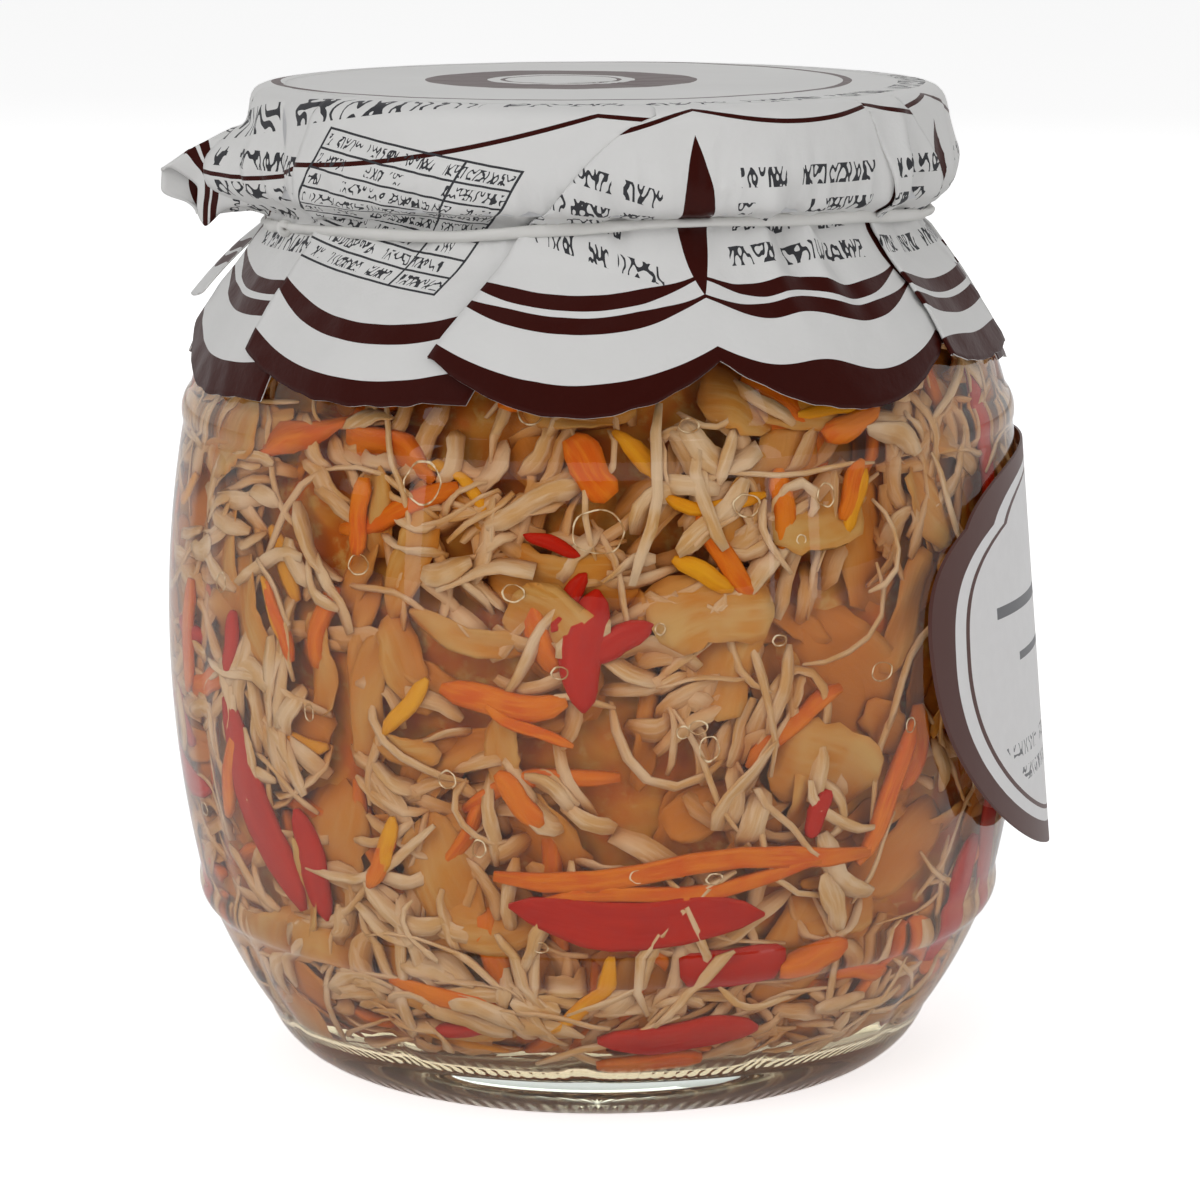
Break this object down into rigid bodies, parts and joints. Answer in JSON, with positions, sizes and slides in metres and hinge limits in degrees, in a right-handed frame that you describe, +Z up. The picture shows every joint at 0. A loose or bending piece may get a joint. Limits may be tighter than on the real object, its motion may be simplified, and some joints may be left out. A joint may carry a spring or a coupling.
{
  "type": "jar of vegetable salad",
  "caption": "Barrel-shaped glass jar filled with shredded vegetable salad in brine, shut by a steel twist-off lid under a pleated paper hood with an elastic band, and a front label.",
  "frame": {"origin": "centre of the jar's base on the surface it stands on, on the jar's axis", "axes": "+Z up along the jar's axis, +X towards the middle of the front label, +Y to the left of someone facing the label"},
  "size_m": [0.1113, 0.1062, 0.1203],
  "materials": {
    "jar_glass": "clear gloss, faintly green",
    "salad": "wet shredded vegetables in pale brine",
    "lid_steel": "white lacquered tinplate",
    "hood_paper": "smooth printed paper",
    "band_elastic": "matt cream elastic",
    "label_paper": "smooth printed paper"
  },
  "bodies": {
    "root": {"glass_jar": "jar_glass", "salad": "salad", "lid": "lid_steel", "paper_hood": "hood_paper", "elastic_band": "band_elastic", "front_label": "label_paper"}
  },
  "joints": []
}
